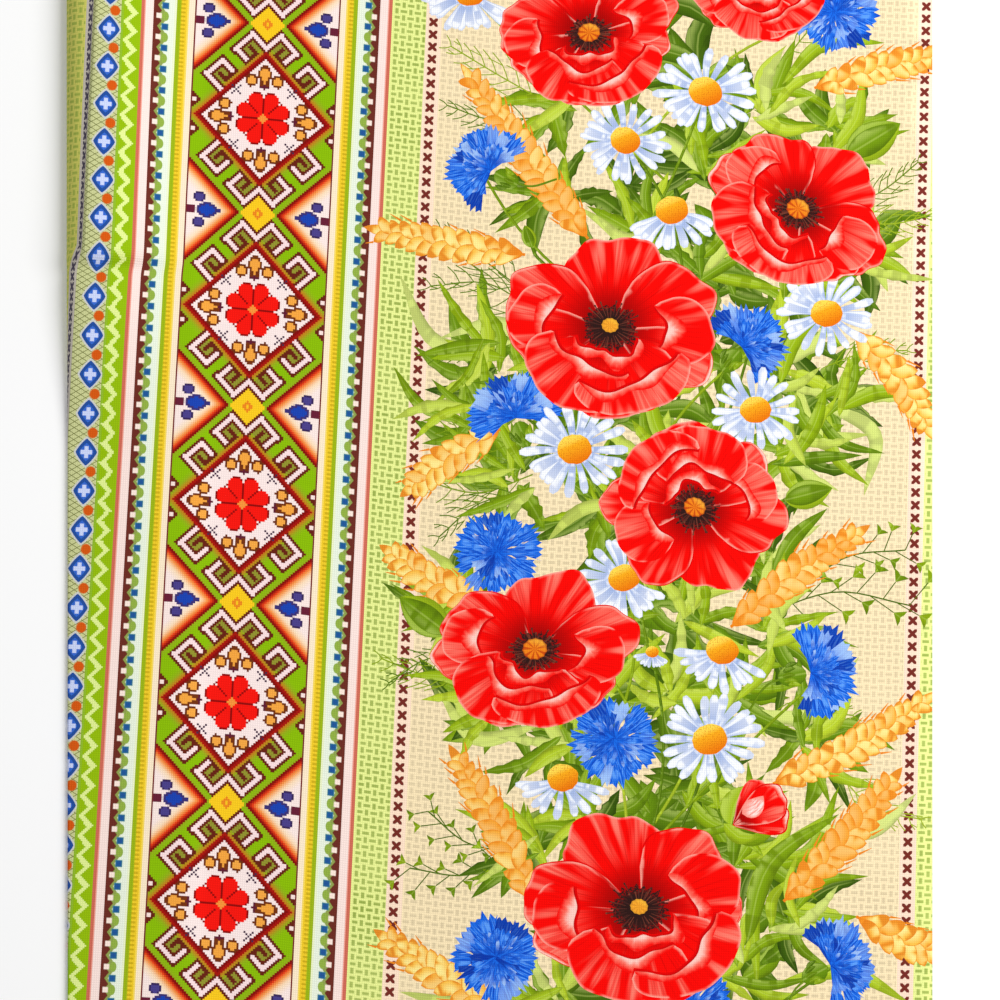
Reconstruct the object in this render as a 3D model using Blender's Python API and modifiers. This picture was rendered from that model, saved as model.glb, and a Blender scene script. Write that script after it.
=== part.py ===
"""A cut length of printed table linen, lying face up with its left margin folded under.

The fold is a soft, rounded roll in the upper part. It is pinched by one crease, and below
the crease it sinks to a pressed fold. The rest of the cloth lies flat. Metres, +Z up, +Y along
the length. The origin is the middle of the base.
"""

import math

import bmesh
import bpy

CLOTH_LENGTH = 0.600
HALF_WIDTH = 0.2376
WIDTH_TAPER = 0.0833
THICKNESS = 0.0011
FOLD_INSET = 0.0006

UNDER_WIDTH = 0.062
UNDER_WAVER = 0.003
STEP_HEIGHT = 0.0020
STEP_LENGTH = 0.014
STEP_SPARE = 0.002

ROLL_TOP_RADIUS = 0.0130
ROLL_FOOT_RADIUS = 0.0036
PRESSED_RADIUS = STEP_HEIGHT / 2
ROLL_SLOPE_LENGTH = 0.056

CREASE_Y = 0.129
CREASE_HALF_WIDTH = 0.0050
CREASE_DEPTH = 0.30
ROLL_BELOW_CREASE = 0.62
PRESSED_FROM_Y = 0.022

# Each row is one stretch of the cross-section, from the hidden edge round to the right edge.
SECTION = [
    {"stretch": "under", "steps": 3},
    {"stretch": "foot", "steps": 6},
    {"stretch": "brow", "steps": 8},
    {"stretch": "slope", "steps": 10},
    {"stretch": "step", "steps": 5},
    {"stretch": "flat", "steps": 5},
]

# Each row is one stretch of the length, from the lower edge up.
LENGTHS = [
    {"upto": PRESSED_FROM_Y, "steps": 6},
    {"upto": CREASE_Y - 3 * CREASE_HALF_WIDTH, "steps": 9},
    {"upto": CREASE_Y + 3 * CREASE_HALF_WIDTH, "steps": 10},
    {"upto": CLOTH_LENGTH / 2, "steps": 5},
]

LINEN_COLOUR = (0.78, 0.72, 0.46, 1.0)
LINEN_ROUGHNESS = 0.9


def clear_scene():
    for obj in list(bpy.data.objects):
        bpy.data.objects.remove(obj)


def smooth(value):
    value = min(max(value, 0.0), 1.0)
    return value * value * (3 - 2 * value)


def fold_edge(y):
    return -HALF_WIDTH * (1 + WIDTH_TAPER * y) + FOLD_INSET


def right_edge(y):
    return HALF_WIDTH * (1 + WIDTH_TAPER * y)


def fullness(y):
    """How full the roll is at this place along the length, from 0, pressed, to 1."""
    above = smooth((y - CREASE_Y + CREASE_HALF_WIDTH) / (2 * CREASE_HALF_WIDTH))
    below = smooth((y - PRESSED_FROM_Y) / (CREASE_Y - PRESSED_FROM_Y))
    base = ROLL_BELOW_CREASE * below * (1 - above) + above
    pinch = CREASE_DEPTH * math.exp(-(((y - CREASE_Y) / CREASE_HALF_WIDTH) ** 2))
    return base * (1 - pinch)


def between(small, large, share):
    return small + (large - small) * share


def section_point(stretch, share, y):
    """The middle of the cloth's thickness, share of the way along one stretch of the section."""
    full = fullness(y)
    floor = THICKNESS / 2
    edge = fold_edge(y)
    foot = between(PRESSED_RADIUS, ROLL_FOOT_RADIUS, full)
    brow = between(PRESSED_RADIUS, ROLL_TOP_RADIUS, full)
    under_end = edge + UNDER_WIDTH + UNDER_WAVER * math.sin(9 * y + 1)
    step_start = under_end + STEP_SPARE
    rise = foot + brow - STEP_HEIGHT
    if stretch == "under":
        return between(under_end, edge + foot, share), floor
    if stretch == "foot":
        turn = share * math.pi / 2
        return edge + foot * (1 - math.sin(turn)), floor + foot * (1 - math.cos(turn))
    if stretch == "brow":
        turn = share * math.pi / 2
        return edge + brow * (1 - math.cos(turn)), floor + foot + brow * math.sin(turn)
    if stretch == "slope":
        x = between(edge + brow, step_start, share)
        fall = min((x - edge - brow) / ROLL_SLOPE_LENGTH, 1)
        return x, floor + STEP_HEIGHT + rise * (1 + math.cos(math.pi * fall)) / 2
    if stretch == "step":
        return step_start + STEP_LENGTH * share, floor + STEP_HEIGHT * (1 - smooth(share))
    return between(step_start + STEP_LENGTH, right_edge(y), share), floor


def section_stations():
    stations = [(SECTION[0]["stretch"], 0.0)]
    for row in SECTION:
        stations += [(row["stretch"], (k + 1) / row["steps"]) for k in range(row["steps"])]
    return stations


def length_stations():
    places = [-CLOTH_LENGTH / 2]
    for row in LENGTHS:
        start = places[-1]
        places += [between(start, row["upto"], (k + 1) / row["steps"]) for k in range(row["steps"])]
    return places


def linen():
    material = bpy.data.materials.new("printed linen")
    material.use_nodes = True
    shader = material.node_tree.nodes["Principled BSDF"]
    shader.inputs["Base Color"].default_value = LINEN_COLOUR
    shader.inputs["Roughness"].default_value = LINEN_ROUGHNESS
    shader.inputs["Metallic"].default_value = 0.0
    return material


def make_cloth(collection):
    across = section_stations()
    along = length_stations()
    body = bmesh.new()
    bmesh.ops.create_grid(body, x_segments=len(across) - 1, y_segments=len(along) - 1, size=1)
    for point in body.verts:
        column = round((point.co.x + 1) / 2 * (len(across) - 1))
        row = round((point.co.y + 1) / 2 * (len(along) - 1))
        stretch, share = across[column]
        x, z = section_point(stretch, share, along[row])
        point.co = (x, along[row], z)
    mesh = bpy.data.meshes.new("cloth")
    body.to_mesh(mesh)
    body.free()
    mesh.materials.append(linen())
    mesh.shade_smooth()
    cloth = bpy.data.objects.new("cloth", mesh)
    collection.objects.link(cloth)
    shell = cloth.modifiers.new("thickness", "SOLIDIFY")
    shell.thickness = THICKNESS
    shell.offset = 0.0
    shell.use_even_offset = True
    return cloth


def build():
    clear_scene()
    collection = bpy.data.collections.new("printed linen length")
    bpy.context.scene.collection.children.link(collection)
    make_cloth(collection)


build()
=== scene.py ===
import random
from math import asin, atan2, cos, erf, log, pi, radians, sin, sqrt, tau

import bpy
import numpy as np
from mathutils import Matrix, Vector
from mathutils.geometry import delaunay_2d_cdt


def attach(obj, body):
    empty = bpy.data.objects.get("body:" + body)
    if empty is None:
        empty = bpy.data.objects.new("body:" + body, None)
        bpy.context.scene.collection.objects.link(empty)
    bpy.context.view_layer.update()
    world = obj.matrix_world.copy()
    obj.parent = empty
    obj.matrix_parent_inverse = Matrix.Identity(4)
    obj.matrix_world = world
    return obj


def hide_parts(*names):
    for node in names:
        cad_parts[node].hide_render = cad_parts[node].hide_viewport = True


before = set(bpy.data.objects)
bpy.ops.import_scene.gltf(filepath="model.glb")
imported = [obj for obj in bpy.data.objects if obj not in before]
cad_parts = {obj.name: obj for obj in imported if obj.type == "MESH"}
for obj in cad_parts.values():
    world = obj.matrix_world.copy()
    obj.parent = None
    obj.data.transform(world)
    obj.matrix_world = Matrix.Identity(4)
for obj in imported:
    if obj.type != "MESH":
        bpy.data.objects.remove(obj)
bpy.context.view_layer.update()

# Printed table linen, lying face up with its left margin rolled under.
# Flat places are metres on the cloth before it is folded: x to the right, y up, from the middle.

camera = {"away": 1.3, "lean": asin(0.108), "across": 0.55, "film": 36.0}

cloth = {
    "length": 0.600,
    "halfWidth": 0.2376,
    "taper": 0.0833,
    "thickness": 0.0011,
    "foldInset": 0.0006,
    "underWidth": 0.062,
    "underWaver": 0.003,
    "stepHeight": 0.0020,
    "stepLength": 0.014,
    "stepSpare": 0.002,
    "browRadius": 0.0130,
    "footRadius": 0.0036,
    "slopeLength": 0.056,
    "creaseY": 0.129,
    "creaseHalf": 0.0050,
    "creaseDepth": 0.30,
    "belowCrease": 0.62,
    "pressedFrom": 0.022,
    "flatMesh": 0.012,        # spacing of the sheet's points where it lies flat
}

# The print's upright lines lean, and its rows run downhill to the right, most of all near bowAt.
printed = {
    "lean": 0.041,
    "rowDrop": 0.030,
    "bowDrop": 0.115,
    "bowAt": -0.085,
    "bowWidth": 0.075,
    "pull": 0.0008,           # how far the roll drags the print to the left, just above the crease
    "pullLean": -0.018,       # and how that changes up the cloth
    "pullFrom": -0.150,
    "tuck": 0.0022,           # cloth taken up by a small step under the left row of crosses
    "tuckAt": -0.2300,
    "tuckLean": 0.029,
    "tuckHalf": 0.0014,
    "tuckDrop": 0.20,
    "cell": 0.001118,         # one printed cross-stitch
    "borderMiddle": -0.1415,
    "borderHalf": 0.0397,
    "repeat": 97,             # cross-stitches in one repeat of the border
    "firstRosette": -0.0025,
    "midStitches": -0.0484,
    "rightStitches": 0.2283,
    "stitchPitch": 0.00705,
    "basketAcross": 0.00396,
    "basketAlong": 0.00369,
    "tickPitch": 0.0024,
    "scallopPitch": 0.0122,
    "zigzagPitch": 0.0107,
    "zigzagCell": 0.00089,
    "lozengePitch": 0.0214,
    "leftStitches": 0.0605,   # outside the border
    "leftStitchPitch": 0.0056,
    "edging": 0.0046,         # half width of the pale stripe under a row of crosses
    "thread": 0.00122,
    "slubDraw": 9.0,          # how much longer a slub is along its thread
    "slubs": 60.0,
    "bump": 0.35,
    "threadHeight": 0.0003,
    "roughness": 0.88,
    "gloss": 0.08,
}

seed = random.Random(21)
vary = seed.uniform


def smooth(value):
    value = np.clip(value, 0.0, 1.0)
    return value * value * (3 - 2 * value)


def foldEdge(y):
    return -cloth["halfWidth"] * (1 + cloth["taper"] * y) + cloth["foldInset"]


def rightEdge(y):
    return cloth["halfWidth"] * (1 + cloth["taper"] * y)


def fullness(y):
    crease, half = cloth["creaseY"], cloth["creaseHalf"]
    above = smooth((y - crease + half) / (2 * half))
    below = smooth((y - cloth["pressedFrom"]) / (crease - cloth["pressedFrom"]))
    base = cloth["belowCrease"] * below * (1 - above) + above
    return base * (1 - cloth["creaseDepth"] * np.exp(-(((y - crease) / half) ** 2)))


def between(small, large, share):
    return small + (large - small) * share


def tucked(flatX, flatY):
    # 1 on the left of the small step beside the crosses, above the crease, and 0 on its right
    at = printed["tuckAt"] + printed["tuckLean"] * (flatY - 0.2)
    above = smooth((flatY - cloth["creaseY"] - 0.002) / 0.010)
    return above * (1 - smooth((flatX - at) / (2 * printed["tuckHalf"]) + 0.5))


def section(y):
    # The middle of the cloth at one place along its length, from the flat part back to the hidden edge.
    full = float(fullness(y))
    floor = cloth["thickness"] / 2
    pressed = cloth["stepHeight"] / 2
    foot = between(pressed, cloth["footRadius"], full)
    brow = between(pressed, cloth["browRadius"], full)
    edge = foldEdge(y)
    underEnd = edge + cloth["underWidth"] + cloth["underWaver"] * sin(9 * y + 1)
    stepStart = underEnd + cloth["stepSpare"]
    rise = foot + brow - cloth["stepHeight"]
    share = np.linspace(0, 1, 25)
    stepX = stepStart + cloth["stepLength"] * (1 - share)
    stepZ = floor + cloth["stepHeight"] * smooth(share)
    share = np.linspace(0, 1, 60)
    slopeX = between(stepStart, edge + brow, share)
    fall = np.minimum((slopeX - edge - brow) / cloth["slopeLength"], 1)
    slopeZ = floor + cloth["stepHeight"] + rise * (1 + np.cos(np.pi * fall)) / 2
    turn = np.linspace(0, pi / 2, 30)
    browX = edge + brow * (1 - np.sin(turn))
    browZ = floor + foot + brow * np.cos(turn)
    footX = edge + foot * (1 - np.cos(turn))
    footZ = floor + foot * (1 - np.sin(turn))
    underX = between(edge + foot, underEnd, np.linspace(0, 1, 10))
    x = np.concatenate([stepX, slopeX[1:], browX[1:], footX[1:], underX[1:]])
    z = np.concatenate([stepZ, slopeZ[1:], browZ[1:], footZ[1:], np.full(9, floor)])
    along = np.concatenate([[0], np.cumsum(np.hypot(np.diff(x), np.diff(z)))])
    return x[0] - along, x, z


class Lay:
    # Carries flat places to where they lie, by looking them up in sections taken along the length.
    def __init__(self):
        half = cloth["length"] / 2
        self.rows = np.linspace(-half, half, 401)
        sections = [section(y) for y in self.rows]
        self.left = min(s[0][-1] for s in sections)
        self.right = -0.13        # the cloth lies flat to the right of this
        self.columns = np.linspace(self.left, self.right, 420)
        self.x = np.array([np.interp(self.columns, s[0][::-1], s[1][::-1]) for s in sections])
        self.z = np.array([np.interp(self.columns, s[0][::-1], s[2][::-1]) for s in sections])
        flat = self.columns[None, :] > np.array([s[0][0] for s in sections])[:, None]
        self.x = np.where(flat, self.columns[None, :], self.x)
        self.z = np.where(flat, cloth["thickness"] / 2, self.z)

    def middle(self, flatX, flatY):
        row = np.clip((flatY - self.rows[0]) / (self.rows[1] - self.rows[0]), 0, len(self.rows) - 1.001)
        column = (flatX - self.left) / (self.columns[1] - self.columns[0])
        column = np.clip(column, 0, len(self.columns) - 1.001)
        i, j = row.astype(int), column.astype(int)
        a, b = row - i, column - j
        found = []
        for grid in (self.x, self.z):
            low = grid[i, j] * (1 - b) + grid[i, j + 1] * b
            high = grid[i + 1, j] * (1 - b) + grid[i + 1, j + 1] * b
            found.append(low * (1 - a) + high * a)
        low = cloth["thickness"] / 2
        x = np.where(flatX > self.right, flatX, found[0])
        z = np.where(flatX > self.right, low, found[1])
        z = low + (z - low) * (1 - printed["tuckDrop"] * tucked(flatX, flatY))
        return np.stack([x, flatY, z], 1)

    def place(self, flat, side):
        # side is 1 for the printed face and -1 for the reverse
        x, y = flat[:, 0], flat[:, 1]
        step = 0.0004
        across = self.middle(x + step, y) - self.middle(x - step, y)
        along = self.middle(x, y + step) - self.middle(x, y - step)
        along[:, 1] = 2 * step
        normal = np.cross(across, along)
        normal /= np.linalg.norm(normal, axis=1)[:, None]
        return self.middle(x, y) + normal * side * cloth["thickness"] / 2


def bowed(across):
    # how far a row of the print has sunk in its bow, counting from the bow's middle
    share = np.vectorize(erf)((across - printed["bowAt"]) / printed["bowWidth"])
    return share * (printed["bowDrop"] * printed["bowWidth"] * sqrt(pi) / 2)


def printPlace(flat):
    # Where on the print each flat place lies: across and along, in metres.
    x, y = flat[:, 0], flat[:, 1]
    above = smooth((y - cloth["creaseY"] + cloth["creaseHalf"]) / (2 * cloth["creaseHalf"]))
    pull = printed["pull"] + printed["pullLean"] * (y - cloth["creaseY"])
    pull = pull * above * smooth((printed["pullFrom"] - x) / 0.05)
    across = x - printed["lean"] * y - pull - printed["tuck"] * tucked(x, y)
    drop = printed["rowDrop"] * (across - printed["borderMiddle"])
    drop = drop + bowed(across) - bowed(printed["borderMiddle"])
    return np.stack([across, y + drop], 1)


def ink(shown):
    # inks are given as a screen shows them, from 0 to 255, and shaders take them linear
    levels = [level / 255 for level in shown]
    linear = [level / 12.92 if level <= 0.04045 else ((level + 0.055) / 1.055) ** 2.4 for level in levels]
    return (*linear, 1.0)


class Wire:
    # One output socket of a material, so that shader maths reads as an expression.
    def __init__(self, tree, socket=None):
        self.tree = tree
        self.socket = socket

    def node(self, kind, settings=None, inputs=None, output=0):
        made = self.tree.nodes.new(kind)
        for name, value in (settings or {}).items():
            setattr(made, name, value)
        pairs = inputs.items() if isinstance(inputs, dict) else enumerate(inputs or [])
        for key, value in pairs:
            if isinstance(value, Wire):
                self.tree.links.new(value.socket, made.inputs[key])
            else:
                made.inputs[key].default_value = value
        return Wire(self.tree, made.outputs[output])

    def maths(self, operation, *others):
        return self.node("ShaderNodeMath", {"operation": operation}, [self, *others])

    def __rsub__(self, other):
        return (self * -1.0) + other

    def between(self, low, high):
        return (self > low) & (self < high)

    def soft(self, low, high):
        # 0 at low, 1 at high
        inputs = {"Value": self, "From Min": low, "From Max": high}
        return self.node("ShaderNodeMapRange", {"interpolation_type": "SMOOTHSTEP"}, inputs)

    def mix(self, share, low, high, blend="MIX"):
        return self.node("ShaderNodeMix", {"data_type": "RGBA", "blend_type": blend},
                         {0: share, 6: low, 7: high}, 2)

    def plain(self, colour):
        return self.mix(0.0, ink(colour), ink(colour))

    def cover(self, colour, mask):
        # lays an ink, or another wire's colour, over this one where mask is 1
        other = colour if isinstance(colour, Wire) else ink(colour)
        self.socket = self.mix(mask, self, other).socket
        return self

    def darker(self, amount):
        # this colour times 1 - amount
        shade = self.node("ShaderNodeCombineXYZ", None, [1 - amount, 1 - amount, 1 - amount])
        return self.mix(1.0, self, shade, "MULTIPLY")

    def ramp(self, colours, blend="LINEAR"):
        made = self.node("ShaderNodeValToRGB", None, [self])
        stops = made.socket.node.color_ramp
        stops.interpolation = blend
        while len(stops.elements) < len(colours):
            stops.elements.new(1.0)
        for stop, row in zip(stops.elements, colours):
            stop.position = row[0]
        for stop, row in zip(stops.elements, colours):
            stop.color = ink(row[1])
        return made

    def layer(self, name):
        # a UV layer's two values
        split = self.node("ShaderNodeSeparateXYZ", None, [self.node("ShaderNodeUVMap", {"uv_map": name})])
        return split, Wire(self.tree, split.socket.node.outputs[1])

    def noise(self, x, y, scale, detail):
        place = self.node("ShaderNodeCombineXYZ", None, [x, y, 0.0])
        return self.node("ShaderNodeTexNoise", None, {"Vector": place, "Scale": scale, "Detail": detail})


# Operators and methods that stand for one maths node each
mathsNodes = {
    "__add__": "ADD", "__radd__": "ADD", "__sub__": "SUBTRACT", "__mul__": "MULTIPLY",
    "__rmul__": "MULTIPLY", "__truediv__": "DIVIDE", "__abs__": "ABSOLUTE", "__lt__": "LESS_THAN",
    "__gt__": "GREATER_THAN", "__and__": "MULTIPLY", "__or__": "MAXIMUM", "least": "MINIMUM",
    "most": "MAXIMUM", "nearest": "ROUND", "floor": "FLOOR", "power": "POWER", "sine": "SINE",
    "modulo": "FLOORED_MODULO", "wrap": "WRAP", "pingpong": "PINGPONG", "turn": "ARCTAN2",
}
for method, operation in mathsNodes.items():
    setattr(Wire, method, lambda self, *others, kind=operation: self.maths(kind, *others))


def finishLinen(name, paint):
    # Makes one ink on the linen: paint(w, u, v) gives its colour, and every ink shares weave and thread.
    material = bpy.data.materials.new(name)
    material.use_nodes = True
    tree = material.node_tree
    shader = tree.nodes["Principled BSDF"]
    w = Wire(tree)
    u, v = w.layer("print")
    colour = paint(w, u, v)
    pitch = printed["thread"]
    slub = w.noise(u, v * printed["slubDraw"], printed["slubs"], 1.0)
    weft = (v / pitch * tau + (slub - 0.5) * 2.0).sine()
    warp = (u / pitch * tau).sine()
    weave = weft * 0.5 + warp * 0.3 + weft * warp * 0.35
    # darker where the weave lies low: painted shade between the threads, together with the slubs' own uneven
    # tone
    colour = colour.darker(0.045 - weave * 0.05 + (slub - 0.5) * 0.05)
    tree.links.new(colour.socket, shader.inputs["Base Color"])
    relief = {"Strength": printed["bump"], "Distance": printed["threadHeight"], "Height": weave}
    bump = w.node("ShaderNodeBump", None, relief)
    tree.links.new(bump.socket, shader.inputs["Normal"])
    shader.inputs["Roughness"].default_value = printed["roughness"]
    shader.inputs["Specular IOR Level"].default_value = printed["gloss"]
    return material


lime, olive = (140, 190, 5), (152, 172, 32)
cream, blush = (255, 236, 205), (254, 230, 222)
umber, wine = (105, 35, 20), (135, 12, 12)
ochre = (248, 168, 66)
basketGreen, basketDash = (236, 245, 150), (146, 168, 70)
panelBeige, panelDash = (251, 230, 186), (214, 196, 158)
paleGreen, yellowGreen = (236, 245, 225), (158, 184, 24)
amber, fineRed = (246, 208, 46), (210, 108, 88)

# Each row is one stripe of the print: how far its near side lies outside the border's edge line,
# in millimetres, and its ink. The same stripes lie on both sides of the border.
sharedStripes = [
    (0.0, (120, 40, 40)), (0.8, cream), (3.9, (252, 222, 100)), (4.8, amber), (7.6, (240, 215, 40)),
    (8.2, yellowGreen), (10.5, (240, 246, 205)), (11.6, paleGreen), (21.0, (110, 46, 36)), (23.1, blush),
    (27.6, (240, 160, 144)), (28.2, fineRed),
]
# The last row is the basket ground on the rolled-under margin. It is darker olive than the same basket on
# the right: print, with painted shade of the roll in it.
leftStripes = [(30.0, (150, 190, 10)), (40.2, (150, 180, 50)), (41.0, (206, 210, 150)),
               (58.0, (196, 188, 176)), (63.0, (206, 204, 100))]


# Patterned bands outside the border's edge line, in metres
bands = {
    "ticks": (0.0058, 0.0083),
    "scallops": (0.0150, 0.0210),
    "toScallopEdge": 0.0231,
    "leftStripes": (0.0300, 0.0640),
    "fromZigzag": 0.0303,
    "zigzagLine": (0.0398, 0.0412),
    "net": (0.0412, 0.0580),
    "leftBasket": 0.0634,
    "rightBasket": (0.0314, 0.0560),
}


def stripes(u, colours, low, high):
    stops = [((place / 1000 - low) / (high - low), colour) for place, colour in colours]
    return ((u - low) / (high - low)).ramp(stops, "CONSTANT")


def phase(v, pitch):
    # distance along the print to the nearest of a row of evenly spaced places
    turns = v / pitch
    return abs(turns - turns.nearest()) * pitch


def basket(u, v, across, along):
    # the printed basket weave's dashes, lying and standing by turns
    x, y = u / across, v / along
    cellX, cellY = x.floor(), y.floor()
    odd = (cellX + cellY).modulo(2.0)
    dx, dy = abs(x - cellX - 0.5), abs(y - cellY - 0.5)
    lying = dx.soft(0.53, 0.40) & dy.soft(0.29, 0.14)
    standing = dx.soft(0.31, 0.15) & dy.soft(0.49, 0.35)
    return lying * (1 - odd) + standing * odd


def stitchColumn(u, v, middle, pitch, narrow=1.0):
    # a row of crosses up the print; narrow squeezes them sideways
    across = abs(u - middle) * narrow
    along = phase(v, pitch)
    arms = abs(across - along).soft(0.00155, 0.00110)
    return (arms | across.most(along).soft(0.0014, 0.0010)) & across.most(along).soft(0.0026, 0.0023)


# Each row is one straight stroke of the border's ram's horns, in stitches: out is counted from the
# rosette's middle along both ways together, side is their difference, and both run low to high.
hornStrokes = [
    {"out": (35, 50.5), "side": (-36, -36)},
    {"out": (50, 50), "side": (-36, -19.5)},
    {"out": (40, 50), "side": (-20, -20)},
    {"out": (33, 50.5), "side": (8, 8)},
    {"out": (50, 50), "side": (-7, 8)},
    {"out": (40, 50), "side": (-7, -7)},
]
hornTongues = [
    {"out": (38, 38), "side": (-28, -20)},
    {"out": (38, 44), "side": (-28, -28)},
    {"out": (38, 38), "side": (-7, 1)},
    {"out": (38, 44), "side": (1, 1)},
]


def nearStrokes(out, side, strokes):
    nearest = None
    for row in strokes:
        outLow, outHigh = row["out"]
        sideLow, sideHigh = row["side"]
        off = (outLow - out).most(out - outHigh).most((sideLow - side).most(side - sideHigh))
        nearest = off if nearest is None else nearest.least(off)
    return nearest


def oval(x, y, wide, tall):
    # under 1 inside an oval; wide and tall are its half sizes, squared
    return x * x / wide + y * y / tall


def borderOrnament(w, u, v):
    # one repeat of the cross-stitch border, with every length in stitches
    cell = printed["cell"]
    x = abs(((u - printed["borderMiddle"]) / cell).nearest())
    y = ((v - printed["firstRosette"]) / cell).nearest()
    half = printed["repeat"] / 2
    y = abs(y.wrap(half, -half))
    out, side = x + y, x - y
    large, small = x.most(y), x.least(y)
    colour = w.plain(lime).cover(olive, (out.soft(53, 58) | out.soft(42, 37)) * 0.75)
    colour.cover((205, 112, 30), out.soft(39, 33.5))

    # side triangles with their drop and berries
    edge = ((out - 57) / 14).ramp([
        (0.0, (110, 12, 12)), (0.16, (150, 15, 10)), (0.28, (232, 60, 20)),
        (0.45, (250, 160, 80)), (0.68, (255, 226, 190)), (1.0, (254, 234, 228))])
    colour.cover(edge, out > 57.4)
    rise = half - y
    dropX = x - 25.5
    drop = oval(dropX, rise, 30, 15).soft(1.06, 0.96)
    point = (rise < (dropX + 7.6) * 0.62) & (dropX < 0) & (rise < 4)
    colour.cover((60, 50, 118), drop | point)
    colour.cover((28, 68, 178), oval(dropX, rise, 15, 6.5) < 1)
    colour.cover((105, 32, 55), (x > 31) & (rise < 1.7))
    berryX, berryY = x - 29.5, rise - 6.4
    berry = berryX * berryX + berryY * berryY
    colour.cover((58, 40, 92), berry < 8.6)
    colour.cover((76, 66, 138), berry < 4.5)

    # ram's horns
    horn = nearStrokes(out, side, hornStrokes)
    tongue = nearStrokes(out, side, hornTongues)
    brown = (horn < 3.7) | (tongue < 1.6)
    curlHeart = out.between(38, 47) & (side.between(-33, -22) | side.between(-5, 6))
    colour.cover((148, 148, 48), curlHeart)
    colour.cover(umber, brown & (out > 33.5) & (out < 54))
    colour.cover((254, 226, 226), (horn < 1.6) & (out > 33.5))

    # little yellow lozenge between rosettes
    lozenge = x + rise
    colour.cover((253, 206, 32), lozenge < 8.8)
    colour.cover((240, 138, 32), lozenge.between(1.2, 3.2))

    # half triangles at the border's edge
    bite = (35.5 - x) + abs(y - 7.5)
    colour.cover(umber, bite < 4.6)
    colour.cover(blush, (x > 33.4) & (abs(y - 7.5) < 1.1))

    # the rosette's lozenge
    colour.cover((168, 22, 12), out < 34.6)
    colour.cover(wine, out < 32.8)
    colour.cover((254, 234, 230), out < 30.6)
    dropL, dropS = large - 22.6, small
    colour.cover((118, 52, 18), oval(dropL, dropS, 22, 11.5) < 1)
    colour.cover((118, 52, 18), large.between(16.6, 20) & (small < 2.2))
    colour.cover(ochre, oval(dropL, dropS, 11, 5.2) < 1)
    colour.cover(ochre, large.between(17.4, 21) & (small < 0.6))
    ringL, ringS = large - 19.2, small - 6.6
    ring = ringL * ringL + ringS * ringS
    colour.cover((112, 48, 18), ring < 10.5)
    colour.cover((248, 170, 70), ring < 4.6)
    fleur = (large.between(14.2, 17.4) & (small < 0.6)) | (large.between(15.2, 16.8) & (small < 2.4))
    colour.cover((98, 30, 52), fleur)
    markX, markY = abs(x - 14), abs(y - 14)
    mark = (abs(markX - markY) < 0.5) & (markX < 2.5) & (markX > 0.5)
    colour.cover((70, 45, 70), mark | ((x + y).between(27.5, 28.5) & (markX < 0.5)))
    reach = (x * x + y * y).power(0.5)
    angle = y.turn(x + 0.001)
    lobe = angle.pingpong(pi / 8)
    rim = 10.6 + (lobe * 4).sine().power(0.6) * 3.6
    colour.cover((150, 10, 8), reach < rim)
    colour.cover((250, 22, 12), (reach < rim - 0.5) & ((reach * lobe.sine() > 0.62) | (reach < 3)))
    colour.cover((250, 150, 60), large + small < 2.5)
    return colour


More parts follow.
